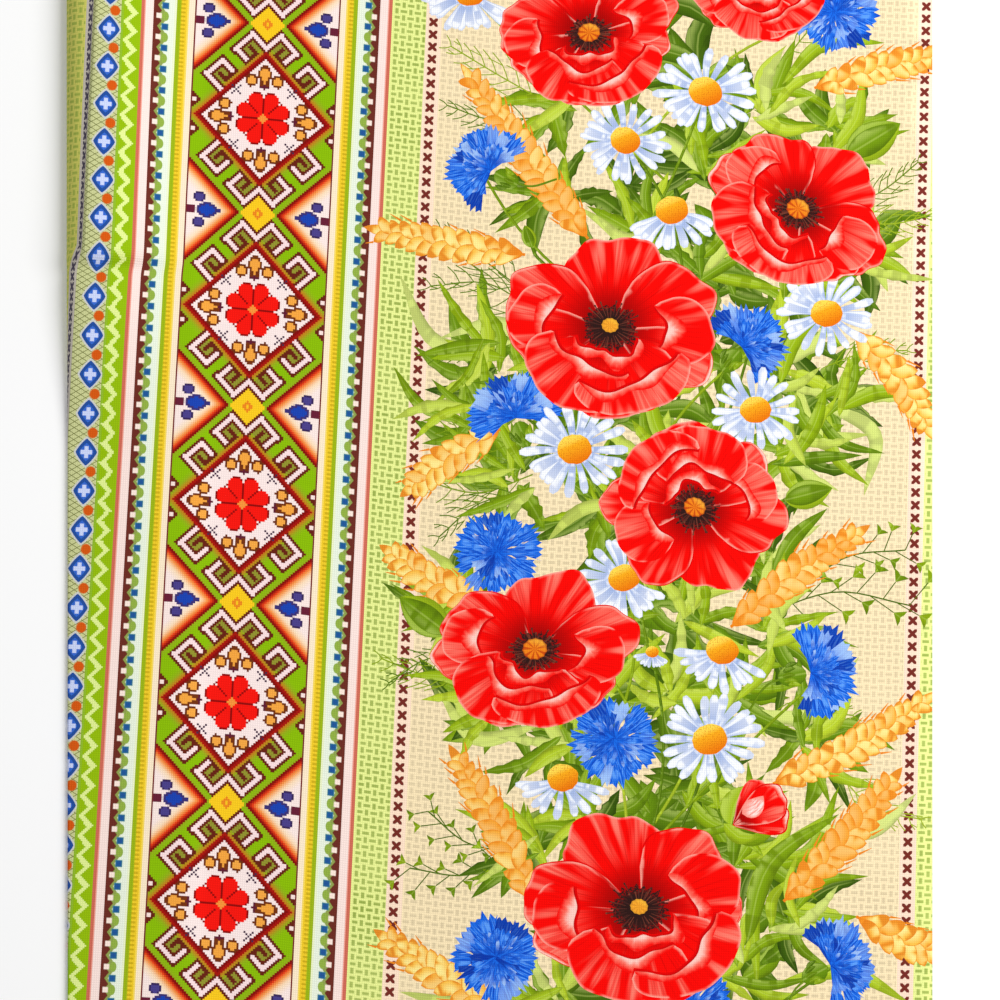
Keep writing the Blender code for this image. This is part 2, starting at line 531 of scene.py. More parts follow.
def groundPrint(w, u, v):
    middle, half, edging = printed["borderMiddle"], printed["borderHalf"], printed["edging"]
    midStitches, rightStitches = printed["midStitches"], printed["rightStitches"]
    outside = abs(u - middle) - half
    left = u < middle
    colour = stripes(outside, sharedStripes, 0.0, 0.031)
    # the left stripes end in the darker olive basket ground, which holds painted shade of the rolled margin
    sharedEnd, leftEnd = bands["leftStripes"]
    colour.cover(stripes(outside, leftStripes, sharedEnd, leftEnd), left & (outside > sharedEnd))
    colour.cover(basketGreen, (1 - left) & (outside > sharedEnd))
    colour.cover((255, 226, 200), abs(u - midStitches - 0.0002) < 0.0044)
    colour.cover(panelBeige, u > midStitches + edging)
    colour.cover((255, 224, 200), u > rightStitches - 0.0042)
    colour.cover(basketGreen, u > rightStitches + edging)
    blotch = w.noise(u, v, 30.0, 3.0) - 0.5

    # ticks on the amber stripe, then the scallops with dots, on both sides of the border
    tick = (v / printed["tickPitch"] * tau).sine() * 0.5 + 0.5
    colour.cover((196, 166, 20), outside.between(*bands["ticks"]) & (tick.soft(0.25, 0.75) * 0.75))
    scallop = phase(v, printed["scallopPitch"])
    valley = printed["scallopPitch"] / 2 - scallop
    colour.cover(paleGreen, outside.between(*bands["scallops"]))
    arcAcross = outside - 0.0166
    arc = arcAcross * arcAcross + scallop * scallop * 0.5
    colour.cover((148, 178, 70), arc.soft(0.0000046, 0.0000032))
    slope = outside - 0.0184 - abs(scallop - 0.0030) * 0.75
    colour.cover((146, 164, 82), slope.soft(-0.0020, -0.0015) & (outside < bands["toScallopEdge"]))
    colour.cover((110, 46, 36), slope.soft(-0.0001, 0.0003) & (outside < bands["toScallopEdge"]))
    creamDot = abs(outside - 0.0200).most(scallop)
    colour.cover((255, 234, 220), creamDot.soft(0.00165, 0.00125))
    blueDot = abs(outside - 0.0166).most(valley)
    colour.cover((60, 132, 150), blueDot.soft(0.00210, 0.00170))
    colour.cover((36, 88, 154), blueDot.soft(0.00170, 0.00110))

    # zigzag, lozenges and little drops left of the border
    step, pitch = printed["zigzagCell"], printed["zigzagPitch"]
    outCell = (outside / step).nearest() * step
    alongCell = (v / step).nearest() * step
    swing = phase(alongCell, pitch) / (pitch / 2)
    rising = (alongCell / pitch + 0.5).modulo(1.0) > 0.5
    zig = abs(outCell - 0.0335 - swing * 0.0048)
    colour.cover((146, 186, 46), left & outside.between(*bands["zigzagLine"]))
    zigzag = left & (zig < 0.00135 + rising * 0.0006) & (outside > bands["fromZigzag"])
    colour.cover((228, 243, 150), zigzag)
    lozengeAcross = abs(outside - 0.0475)
    lozengeAlong = phase(v, printed["lozengePitch"])
    lozenge = (lozengeAcross / 0.0059).power(1.2) + (lozengeAlong / 0.0075).power(1.2)
    halo = (lozengeAcross / 0.0070).power(1.2) + (lozengeAlong / 0.0088).power(1.2)
    net = ((u * 0.62 + v) * 1900.0).sine().most(((u * 0.62 - v) * 1900.0).sine())
    netHere = left & outside.between(*bands["net"])
    colour.cover((116, 120, 62), netHere & net.soft(0.86, 0.98))
    colour.cover((208, 210, 206), left & (halo < 1.0) & (outside > 0.0410))
    colour.cover((38, 80, 158), left & (lozenge < 1.0))
    colour.cover((56, 106, 206), left & (lozenge < 0.62))
    plus = (lozengeAcross < 0.0011) & (lozengeAlong < 0.0033)
    plus = plus | ((lozengeAcross < 0.0032) & (lozengeAlong < 0.0012))
    colour.cover((206, 216, 250), left & plus)
    gap = printed["lozengePitch"] / 2 - lozengeAlong
    wedgeAcross = outside - 0.0436
    wedge = (wedgeAcross * wedgeAcross + gap * gap * 0.8).power(0.5) + wedgeAcross * -0.35
    colour.cover((216, 90, 18), left & wedge.soft(0.0028, 0.0021))

    # printed basket weave and rows of crosses
    dashes = basket(u, v, printed["basketAcross"], printed["basketAlong"])
    worn = 0.80 + blotch * 0.7
    green = (left & (outside > bands["leftBasket"])) | (outside.between(*bands["rightBasket"]) & (1 - left))
    green = green & (u < midStitches - 0.0044)
    green = green | (u > rightStitches + 0.0050)
    colour.cover(basketDash, green & dashes & worn)
    panel = u.between(midStitches + 0.0052, rightStitches - 0.0048)
    colour.cover(panelDash, panel & dashes & (worn * 0.9))
    middleCrosses = stitchColumn(u, v, midStitches, printed["stitchPitch"])
    colour.cover((118, 44, 36), middleCrosses | stitchColumn(u, v, rightStitches, printed["stitchPitch"]))
    leftStitches = middle - half - printed["leftStitches"]
    colour.cover((78, 72, 88), stitchColumn(u, v, leftStitches, printed["leftStitchPitch"], 2.0))
    return colour.cover(borderOrnament(w, u, v), outside < 0.0)


# Inks of the flowers. Each reads a shape's own coordinates: along from 0 at its base to 1 at its tip,
# side from -1 to 1, the tone that the drawing gives it, and depth from 0 at its rim to 1 inside.

def motif(w):
    return *w.layer("motif"), *w.layer("tone")


def poppyInk(w, u, v):
    along, side, tone, depth = motif(w)
    reach = (along * along + side * side).power(0.5)
    turn = side.turn(along + 0.0001)
    broad = w.noise(turn * 2.6 + tone * 17.0, reach * 0.5, 2.0, 1.0)
    vein = w.noise(turn * 15.0 + tone * 9.0, reach * 0.7, 2.5, 2.0)
    colour = w.plain((250, 4, 0)).cover((150, 0, 0), reach.soft(0.58, 0.20) * 0.9)
    colour.cover((188, 0, 0), (0.47 - vein).soft(0.0, 0.12) * reach.soft(1.05, 0.4) * 0.7)
    pale = reach.soft(0.40, 0.98) * (broad - 0.46 + (tone - 0.5) * 0.12).soft(0.0, 0.14)
    colour.cover((255, 128, 110), pale * (0.40 + vein.soft(0.38, 0.62) * 0.6))
    return colour.cover((255, 170, 154), depth.soft(0.40, 0.0) * (broad - 0.40).soft(0.0, 0.12) * 0.85)


def poppyShadeInk(w, u, v):
    along, side, tone, depth = motif(w)
    return w.plain((230, 0, 0)).cover((160, 0, 4), depth.soft(0.05, 0.9))


def curlInk(w, u, v):
    along, side, tone, depth = motif(w)
    streak = w.noise(along * 7.0 + tone * 9.0, side * 0.8, 2.0, 2.0)
    out = abs(side) + (streak - 0.5) * 0.5
    colour = w.plain((248, 14, 8)).cover((255, 120, 102), out.soft(0.0, 0.45))
    return colour.cover((255, 204, 192), out.soft(0.30, 0.75))


def blazeInk(w, u, v):
    # the pale inside of an opening bud
    along, side, tone, depth = motif(w)
    streak = w.noise(side * 3.0, along * 1.2, 2.0, 2.0)
    return w.plain((255, 150, 136)).cover((255, 232, 224), streak.soft(0.35, 0.60) * depth.soft(0.0, 0.8))


def heartInk(w, u, v):
    along, side, tone, depth = motif(w)
    speck = (w.noise(u, v, 900.0, 2.0) - 0.46).soft(0.0, 0.15)
    return w.plain((46, 24, 22)).cover((150, 10, 8), speck * depth.soft(1.0, 0.1))


def stamenInk(w, u, v):
    along, side, tone, depth = motif(w)
    return w.plain((52, 26, 26)).cover((122, 60, 44), tone)


def podInk(w, u, v):
    along, side, tone, depth = motif(w)
    turn = side.turn(along + 0.0001)
    rays = (turn * 9.0).sine() * 0.5 + 0.5
    colour = w.plain((240, 132, 26)).cover((190, 48, 12), rays.soft(0.40, 0.90) * 0.75)
    colour.cover((255, 196, 66), (side + along * 0.4).soft(0.1, 0.9) * 0.6)
    colour.cover((150, 36, 12), depth.soft(0.6, 0.0) * 0.7)
    return colour.cover((255, 206, 60), tone.soft(0.6, 1.0) * 0.4)


def daisyInk(w, u, v):
    along, side, tone, depth = motif(w)
    groove = abs(abs(side) - 0.34)
    colour = w.plain((248, 250, 254)).cover((186, 204, 240), along.soft(0.62, 0.05) * (0.5 + tone * 0.4))
    colour.cover((120, 150, 210), depth.soft(0.62, 0.0) * (0.80 - along * 0.45))
    colour.cover((168, 190, 234), groove.soft(0.14, 0.02) * along.soft(0.95, 0.35) * 0.45)
    return colour.cover((184, 202, 238), (side * (tone - 0.5) * 2.0).soft(0.1, 0.8) * 0.5)


def eyeInk(w, u, v):
    along, side, tone, depth = motif(w)
    speck = w.noise(u, v, 1300.0, 1.0)
    lit = (side * 0.8 - along * 0.35).soft(-0.9, 0.75)
    colour = w.plain((236, 116, 6)).cover((255, 190, 34), lit)
    colour.cover((255, 232, 96), lit.soft(0.72, 1.0) * 0.7)
    return colour.cover((206, 96, 4), (0.47 - speck).soft(0.0, 0.10) * 0.5)


def cornflowerInk(w, u, v):
    along, side, tone, depth = motif(w)
    streak = w.noise(side * 2.6 + tone * 13.0, along * 0.8, 3.0, 2.0)
    colour = w.plain((26, 108, 230)).cover((12, 62, 184), (0.49 - streak).soft(0.0, 0.10) * 0.8)
    colour.cover((112, 176, 255), (streak - 0.52).soft(0.0, 0.10) * along.soft(0.1, 0.8) * 0.75)
    colour.cover((178, 210, 250), tone.soft(0.62, 0.96) * along.soft(0.2, 0.9) * 0.8)
    colour.cover((8, 40, 150), tone.soft(0.20, 0.0) * 0.8)
    return colour.cover((8, 48, 168), depth.soft(0.5, 0.0) * along.soft(1.0, 0.5) * 0.45)


def wheatInk(w, u, v):
    along, side, tone, depth = motif(w)
    colour = w.plain((252, 192, 72)).cover((240, 136, 28), along.soft(0.50, 0.05) * 0.9)
    lit = depth.soft(0.1, 0.9) * along.soft(0.15, 0.5) * (side * 0.5 + 0.5).soft(0.0, 0.7)
    colour.cover((255, 234, 146), lit)
    colour.cover((222, 116, 18), depth.soft(0.5, 0.0) * 0.75)
    return colour.cover((242, 140, 32), tone.soft(0.75, 0.05) * 0.6)


def leafInk(w, u, v):
    along, side, tone, depth = motif(w)
    vein = w.noise(along * 5.0 - abs(side) * 2.2, tone * 20.0, 3.0, 2.0)
    colour = tone.ramp([(0.0, (60, 92, 12)), (0.3, (104, 142, 14)), (0.55, (150, 182, 16)),
                        (0.8, (190, 212, 48)), (1.0, (222, 232, 140))])
    colour.cover((222, 238, 130), side.soft(0.05, 0.75) * depth.soft(0.0, 0.4) * 0.30)
    colour = colour.darker(side.soft(-0.1, -0.9) * 0.28 + (0.5 - vein).soft(0.0, 0.2) * 0.14)
    colour.cover((214, 232, 120), abs(side).soft(0.13, 0.02) * along.soft(1.0, 0.6) * 0.26)
    return colour.darker(depth.soft(0.5, 0.0) * 0.22)


def reverseInk(w, u, v):
    # the back of the linen, where the print only shines through
    ghost = groundPrint(w, u, v)
    return w.plain((238, 232, 208)).cover(ghost, 0.22)


# Drawing. Every shape is an outline in metres with its ink, its spine and how it is shaded.

drawing = []


def curve(points, count):
    # a smooth line through a few points
    points = np.array(points, float)
    padded = np.vstack([2 * points[0] - points[1], points, 2 * points[-1] - points[-2]])
    spans = len(padded) - 3
    found = []
    for k in range(count):
        at = k / (count - 1) * spans
        i = min(int(at), spans - 1)
        t = at - i
        a, b, c, d = padded[i:i + 4]
        found.append(0.5 * (2 * b + (c - a) * t + (2 * a - 5 * b + 4 * c - d) * t * t
                            + (3 * b - a - 3 * c + d) * t ** 3))
    return np.array(found)


def turned(points, angle, at=(0.0, 0.0), size=1.0):
    c, s = cos(angle), sin(angle)
    x, y = (np.array(points, float) * size).T
    return np.stack([x * c - y * s + at[0], x * s + y * c + at[1]], 1)


def add(outline, paint, spine, width, tone=0.5, rim=0.0008):
    # rim is how far in from its outline the shape's depth rises from 0 to 1
    drawing.append({"outline": np.array(outline), "paint": paint, "spine": np.array(spine),
                    "width": width, "tone": tone, "rim": rim})


def strip(spine, halfWidth, paint, tone=0.5, teeth=0):
    # a leaf, stem, blade or dart along a smooth spine; halfWidth gives its shape from 0 to 1 along it
    spine = np.array(spine)
    run = np.gradient(spine, axis=0)
    run /= np.linalg.norm(run, axis=1)[:, None] + 1e-12
    out = np.stack([-run[:, 1], run[:, 0]], 1)
    share = np.linspace(0, 1, len(spine))
    half = np.array([halfWidth(t) for t in share])
    cutIn = 1 - 0.4 * ((share * teeth) % 1.0)
    left = spine + out * (half * cutIn)[:, None]
    right = (spine - out * (half * cutIn)[:, None])[::-1]
    outline = np.vstack([left, right[1 if half[-1] < 1e-6 else 0:]])
    add(outline[:-1] if half[0] < 1e-6 else outline, paint, spine, max(half), tone)


def lance(width, fullest=0.42):
    # half width of a pointed leaf along its length
    power = log(0.5) / log(fullest)
    return lambda t: width * max(sin(pi * min(max(t, 0), 1) ** power), 0) ** 0.85


def plump(width):
    # half width of a rounded grain along its length
    return lambda t: width * max(sin(pi * min(max(t, 0), 1) ** 1.25), 0) ** 0.6


def bend(start, end, sag, count):
    # a spine from start to end, bowed sideways by sag times its length
    start, end = np.array(start, float), np.array(end, float)
    run = end - start
    middle = (start + end) / 2 + np.array([-run[1], run[0]]) * sag
    return curve([start, middle, end], count)


def leaf(start, end, width, tone, sag=0.08, teeth=0):
    strip(bend(start, end, sag, 3 * teeth + 1 if teeth else 11), lance(width), "leaf", tone, teeth)


def stem(points, width, tone=0.35):
    strip(curve(points, 12), lambda t: width, "leaf", tone)


def ray(at, angle, length):
    return (at[0] + length * cos(angle), at[1] + length * sin(angle))


def hair(start, end, halfWidth, tone):
    # a thin straight stalk
    strip(np.linspace(start, end, 3), lambda t: halfWidth, "leaf", tone)


def disc(paint, at, radii, squash, lean, facing, size, tone, rim):
    # a flattened round; radii are its outline's distances from the middle, taken once round
    outline = [ray((0, 0), tau * k / len(radii), reach) for k, reach in enumerate(radii)]
    outline = turned(np.array(outline) * (1, squash), lean, at)
    add(outline, paint, [at, ray(at, facing, size)], size, tone, rim)


def petal(at, angle, reach, spread, squash, lean, inner=0.06, curl=0.0, shade=None):
    # One wide poppy petal with a wavy rim, running from inner to its reach. A curl lies along the inner
    # rim of a cupped petal and along the outer rim of another. A shade may stand out round it by some
    # share of its reach.
    tone = seed.random()
    thetas = np.linspace(-spread, spread, 40)
    waves = [(vary(0.03, 0.07), vary(3, 5), vary(0, 6)),
             (vary(0.02, 0.04), vary(8, 12), vary(0, 6)),
             (vary(0.008, 0.014), vary(19, 27), vary(0, 6))]
    ripple = 1 + sum(size * np.sin(pitch * thetas + start) for size, pitch, start in waves)
    hollow, taper, ends = (inner, 0.40, 0.999) if inner > 0.2 else (0.0, 0.24, 0.985)
    rim = np.maximum(np.cos(thetas / spread * pi / 2 * ends), 0.0) ** taper * ripple
    rim = reach * (hollow + 0.03 + (0.97 - hollow) * rim)
    across = np.linspace(-spread, spread, 30) * 0.96
    cup = reach * (inner + 0.045 * np.sin(across * vary(3.5, 5.5) + vary(0, 6))
                   + 0.010 * np.sin(across * vary(10, 13)))
    if inner < 0.2:
        across, cup = np.array([-spread * 0.5, spread * 0.5]), np.full(2, inner * reach)

    def carried(radii, angles):
        points = np.stack([radii * np.cos(angles + angle), radii * np.sin(angles + angle)], 1)
        points = turned(points, -lean)
        points[:, 1] *= squash
        return turned(points, lean, at)

    tip = carried(np.array([reach]), np.array([0.0]))[0]
    length = np.linalg.norm(tip - np.array(at))
    if shade is not None:
        low = carried(np.maximum(cup - 0.032 * reach, 0.02 * reach), across * 1.03)
        high = carried(rim * 0.98 + shade * reach, thetas * (1 + shade))
        add(np.vstack([high, low[::-1]]), "poppyShade", [at, tip], length, tone, reach * 0.05)
    add(np.vstack([carried(rim, thetas), carried(cup, across)[::-1]]), "poppy", [at, tip], length, tone,
        reach * 0.07)
    if not curl:
        return
    edge, angles, way = (cup, across, 1) if inner > 0.2 else (rim[5:35], thetas[5:35], -1)
    thick = curl * reach * np.sin(np.linspace(0.05, pi - 0.05, len(edge))) ** 0.6
    thick = thick * (0.80 + 0.30 * np.sin(angles * vary(5, 9) + vary(0, 6)))
    back = carried(edge + way * np.maximum(thick, 0.012 * reach), angles)
    add(np.vstack([carried(edge, angles), back[::-1]]), "curl", back[::3], curl * reach, tone, 0.0013)


# A poppy's petals, each with its direction in degrees, reach and half spread, and some with their
# inner end, curl and shade as well
backPetals = [
    (270, 0.88, 1.40), (96, 1.00, 0.86), (26, 1.00, 0.78, 0.06, 0.0, 0.025),
    (158, 1.01, 0.74, 0.06, 0.0, 0.025), (340, 0.98, 0.55, 0.06, 0.035, 0.025),
    (200, 0.99, 0.56, 0.06, 0.045, 0.025),
]
frontPetals = [
    (8, 0.97, 0.58, 0.50, 0.16, 0.0), (176, 0.96, 0.52, 0.62, 0.16, 0.0), (268, 0.99, 1.25, 0.32, 0.15, 0.0),
    (246, 0.98, 0.92, 0.50, 0.14, 0.0), (292, 0.98, 0.84, 0.68, 0.13, 0.0),
]


def poppy(at, size, lean, turn, squash, cup):
    # back petals, folded side petals, heart with stamens and pod, then the cupped petals in front
    at = np.array(at)
    large = size > 0.058      # the largest have a smaller, lighter pod
    front = radians(cup - 270)

    def place(angle, reach, spread, *more):
        angle = radians(angle + vary(-6, 6)) + turn
        petal(at, angle + front, size * reach * vary(0.97, 1.03), spread, squash, lean, *more)

    for row in backPetals:
        place(*row)
    radii = [size * (0.255 if k % 2 else 0.215) * vary(0.90, 1.12) for k in range(46)]
    disc("heart", at, radii, squash, lean, lean, size * 0.26, 0.5, size * 0.07)
    for k in range(34):
        angle = tau * (k + seed.random()) / 34
        reach = size * vary(0.17, 0.30)
        tip = turned([(cos(angle) * reach, sin(angle) * reach * squash)], lean, at)[0]
        foot = at + (tip - at) * 0.45
        strip(np.linspace(foot, tip, 3), lambda t: 0.00022 * (0.7 + t), "stamen", seed.random())
        dot = [ray(tip, tau * j / 6, 0.0006) for j in range(6)]
        add(dot, "stamen", [tip, dot[0]], 0.0008, seed.random(), 0.0)
    podSize = size * (0.078 if large else 0.125)
    radii = [podSize * (1.04 if k % 2 else 0.96) for k in range(22)]
    middle = at + np.array([0.0, size * 0.02])
    disc("pod", middle, radii, 0.86, lean, lean, podSize, 1.0 if large else 0.5, 0.0016)
    for row in frontPetals:
        place(*row)


def daisy(at, size, lean, squash, spread, petals):
    # two rounds of narrow petals with a dome; spread under a whole turn shows the flower from its side
    at = np.array(at)
    whole = spread > 6
    for layer in (0, 1):
        for k in range(petals):
            share = (k + 0.5 * layer + vary(-0.15, 0.15)) / petals
            angle = (share - 0.5) * spread + (0 if whole else pi / 2)
            reach = size * vary(0.88, 1.05) * (1.0 if layer == 0 else 0.92)
            tip = np.array([cos(angle) * reach, sin(angle) * reach * squash])
            foot = tip * 0.16
            spine = turned(bend(foot, tip, vary(-0.06, 0.06), 9), lean, at)
            wide = size * vary(0.086, 0.110)
            if layer == 0 or seed.random() < 0.30:
                strip(spine, lambda t: wide * (0.42 + 0.64 * t) * (1 - max(t - 0.74, 0) ** 2 * 11) ** 0.5
                      if t < 1 else wide * 0.40, "daisy", seed.random())
    radii = [size * 0.33 * vary(0.97, 1.04) for k in range(26)]
    middle = turned([(0.0, 0.0 if whole else -0.05 * size)], lean, at)[0]
    disc("eye", middle, radii, 0.86, lean, 0, size * 0.33, 0.5, 0.002)


def cornflower(at, size, lean, side):
    # ragged trumpets round a heart of darts, on a scaly green bulb when seen from its side
    at = np.array(at)
    down, outer = lean - pi / 2, 14
    if side:
        turns = np.linspace(0, tau, 15)[:-1]
        bulb = [(cos(a) * size * 0.24, sin(a) * size * 0.32) for a in turns]
        foot = ray(at, down, size * 0.80)
        stem([foot, ray(foot, down + 0.2, size * 0.6), ray(foot, down + 0.5, size * 1.2)], 0.0006)
        add(turned(bulb, lean, foot), "leaf", [ray(foot, down, size * 0.3), at], size * 0.26, 0.3)
        for k in range(5):
            start = ray(foot, down + 0.5 * (k - 2), size * 0.22)
            end = ray(start, lean + pi / 2 - 0.12 * (k - 2), size * 0.30)
            leaf(start, end, size * 0.06, 0.15 + 0.1 * k)
        at = np.array(ray(at, down, size * 0.35))
    for k in range(outer + 10):
        ring = 1.0 if k < outer else 0.66
        turn = k / outer if k < outer else (k - outer) / 10
        angle = lean - 0.3 + (pi + 0.6) * turn if side else tau * turn
        angle += vary(-0.12, 0.12)
        reach = size * vary(0.86, 1.08) * ring * (1.10 if side else 1.0)
        wide = size * vary(0.17, 0.25) * ring ** 0.5
        points = [(0.0, -0.04 * size), (0.45 * reach, -0.35 * wide)]
        for j in range(9):
            inward = 0.84 if j % 2 else 1.0 - 0.03 * abs(j - 4)
            points.append((reach * inward * vary(0.92, 1.05), wide * (j - 4) / 3.2))
        points += [(0.45 * reach, 0.35 * wide), (0.0, 0.04 * size)]
        add(turned(points, angle, at), "cornflower", [at, ray(at, angle, reach)], wide, seed.random())
    for k in range(42):
        angle = lean + vary(0.1, 3.04) if side else vary(0, tau)
        near = size * vary(0.02, 0.42)
        far = near + size * vary(0.18, 0.38)
        width = size * vary(0.026, 0.050)
        strip(bend(ray(at, angle, near), ray(at, angle, far), vary(-0.2, 0.2), 6), lance(width, 0.6),
              "cornflower", seed.random())


def wheat(base, tip, tones):
    # an ear of plaited grains along a slightly bowed line
    spine = bend(base, tip, vary(-0.06, 0.06), 60)
    length = np.linalg.norm(np.array(tip) - np.array(base))
    rows = max(int(length / 0.0074), 5)
    strip(spine[::6], lambda t: 0.0008, "wheat", 0.2)
    heading = atan2(*(spine[-1] - spine[-4])[::-1])
    strip(bend(spine[50], ray(spine[-1], heading, 0.004), 0.0, 9), lance(0.0030, 0.48), "wheat", 0.6)
    for k in range(rows)[::-1]:
        place = (k + 0.3) / (rows + 0.8)
        here = spine[int(place * 56)]
        ahead = spine[min(int(place * 56) + 3, 59)] - here
        heading = atan2(ahead[1], ahead[0])
        plumpness = 0.74 + 0.30 * sin(pi * min(place * 1.1 + 0.1, 1))
        grain = 0.0172 * plumpness * vary(0.93, 1.07)
        for hand in ((-1, 1) if k % 2 else (1, -1)):
            start = ray(here, heading + hand * pi / 2, grain * 0.05)
            end = ray(ray(here, heading, grain * 0.96), heading + hand * pi / 2, grain * 0.54)
            if seed.random() < 0.5:
                awn = ray(end, heading + hand * 0.35, grain * vary(0.25, 0.5))
                strip(np.linspace(end, awn, 3), lambda t: 0.0005 * (1 - t) + 0.00015, "wheat", 0.1)
            strip(bend(start, end, -hand * 0.16, 12), plump(grain * 0.235), "wheat", vary(*tones))


def feather(base, heading, length, tone):
    # fine branching foliage
    spine = bend(base, ray(base, heading, length), vary(-0.15, 0.15), 9)
    strip(spine, lambda t: 0.00038, "leaf", tone)
    for k in range(1, 9):
        for hand in (-1, 1):
            angle = heading + hand * vary(0.45, 0.7)
            reach = length * 0.42 * (1 - k / 11)
            side = bend(spine[k], ray(spine[k], angle, reach), hand * 0.08, 5)
            strip(side, lambda t: 0.0003, "leaf", tone)
            if k % 2:
                hair(side[2], ray(side[2], angle - hand * 0.6, reach * 0.5), 0.00027, tone)


def podSprig(base, heading, length):
    # thin dark stems with small heart-shaped pods
    spine = bend(base, ray(base, heading, length), 0.12, 12)
    strip(spine, lambda t: 0.0004, "leaf", 0.15)
    for k in range(1, 12):
        hand = 1 if k % 2 else -1
        angle = heading + hand * vary(0.5, 0.9)
        end = ray(spine[k], angle, length * vary(0.13, 0.22))
        hair(spine[k], end, 0.0003, 0.15)
        size = length * 0.085
        heart = [(0, 0), (0.9, 0.75), (0.85, 0.3), (0.7, 0), (0.85, -0.3), (0.9, -0.75)]
        add(turned(heart, angle, end, size), "leaf", [end, ray(end, angle, size)], size * 0.7,
            vary(0.35, 0.6))


def sprayOf(at, count, reach, wide, tones, arc):
    # a tuft of leaves from one place, leaning out from the garland's middle and upward
    heading = atan2(0.030, at[0] - 0.085 - 0.06 * at[1])
    for k in range(count):
        angle = heading + arc * ((k + 0.5) / count - 0.5) + vary(-0.2, 0.2)
        length = reach * vary(0.6, 1.15)
        start = np.array(ray(at, angle, -0.08 * length)) + [vary(-0.008, 0.008) for _ in range(2)]
        teeth = seed.choice((0, 0, 4, 5))
        leaf(start, ray(start, angle, length), wide * vary(0.7, 1.25), vary(*tones),
             vary(-0.18, 0.18), teeth)


def bud(at, heading, size):
    # a pointed green bud on its stem
    base = ray(at, heading, -size * 0.5)
    stem([ray(base, heading + 0.3, -size * 0.9), ray(base, heading + 0.1, -size * 0.4), base], 0.0009, 0.3)
    for tone, sag in ((0.45, 0.10), (0.62, -0.10), (0.35, 0.0)):
        leaf(base, ray(at, heading, size * 0.55), size * 0.21, tone, sag)


def budRed(at, heading, size):
    # a poppy bud just opening, with red petals in a green cup
    base = ray(at, heading, -size * 0.5)
    side = ray(base, heading + 2.9, size * 1.5)
    stem([ray(side, -1.2, size * 1.0), side, base], 0.0022, 0.42)
    for turn, tone in ((0.62, 0.62), (-0.62, 0.45), (0.0, 0.3)):
        leaf(base, ray(base, heading + turn, size * 0.80), size * 0.26, tone, 0.10 * (1 if turn > 0 else -1))
    for turn, tone in ((0.28, 0.2), (-0.28, 0.7), (0.0, 0.5)):
        petal(base, heading + turn, size * 1.08, 0.50, 1.0, 0.0, 0.06, 0.10, 0.04 if tone > 0.3 else None)
    blaze = bend(ray(base, heading + 0.3, size * 0.30), ray(base, heading + 0.2, size * 0.80), -0.1, 10)
    strip(blaze, lance(size * 0.17), "blaze", 0.5)
    low, high = ray(base, heading + 2.2, size * 0.15), ray(base, heading - 0.9, size * 0.55)
    leaf(low, high, size * 0.13, 0.62, -0.2)


# Where things lie, in centimetres on the flat cloth from its middle: x to the right, y up.

poppies = [
    (5.0, 26.3, 5.0, 0.1, 0.2, 0.82, 270), (14.4, 29.4, 4.3, -0.2, 0.4, 0.80, 270),
    (16.6, 16.2, 5.2, -0.45, 0.1, 0.82, 215), (6.1, 9.6, 6.0, -0.1, -0.1, 0.86, 270),
    (10.7, -0.5, 4.9, -0.4, 0.1, 0.98, 100), (1.9, -8.3, 5.4, 0.1, -0.1, 0.80, 262),
    (7.5, -22.2, 6.1, -0.15, 0.1, 0.84, 280),
]
daisies = [
    (11.5, 23.0, 2.9), (7.0, 20.2, 2.6), (18.1, 10.4, 2.7), (14.1, 5.0, 2.6), (4.1, 2.8, 2.9),
    (6.8, -4.3, 2.6), (11.4, -13.1, 2.9),
]
sideDaisies = [
    (9.6, 16.1, 2.8, 3.3, 2.6), (12.1, -8.4, 2.7, 3.0, 2.9), (3.4, -15.3, 2.6, 3.2, 3.1),
    (-1.7, 28.6, 2.8, 3.1, 2.8), (8.3, -8.4, 1.1, 3.1, 2.6),
]
cornflowers = [
    (-0.2, -2.9, 2.6, 0, 0), (6.2, -13.1, 2.6, 0, 0), (10.4, -27.4, 2.4, 0, 0),
    (18.8, 27.6, 2.6, 0, 0), (-0.2, -24.8, 2.5, 0, 0), (-1.3, 18.9, 2.35, 1.07, 1),
    (0.5, 5.4, 2.4, 0.4, 1), (14.0, 9.2, 2.4, -0.7, 1), (17.9, -9.3, 2.5, -1.4, 1),
    (18.6, -24.8, 2.35, -1.1, 1),
]
ears = [
    (1.4, 13.7, -7.2, 15.2, 0), (4.9, 14.6, -2.0, 24.3, 1), (0.0, 3.9, -5.2, 0.4, 0),
    (-0.3, -5.9, -6.3, -2.7, 0), (1.9, -21.9, -2.6, -13.7, 1), (0.4, -27.8, -6.5, -23.5, 0),
    (17.6, 23.2, 24.6, 25.0, 0), (19.6, 9.4, 23.8, 3.6, 0), (12.6, -7.0, 20.0, -1.6, 1),
    (14.8, -15.5, 23.6, -10.7, 0), (15.3, -21.8, 21.6, -14.9, 1), (19.2, -22.6, 24.2, -24.6, 0),
]
buds = [(20.8, 20.2, 0.55, 3.4), (-4.1, -6.4, 2.5, 3.2), (16.9, 0.3, 0.25, 2.6), (1.6, 14.7, 1.9, 1.3)]
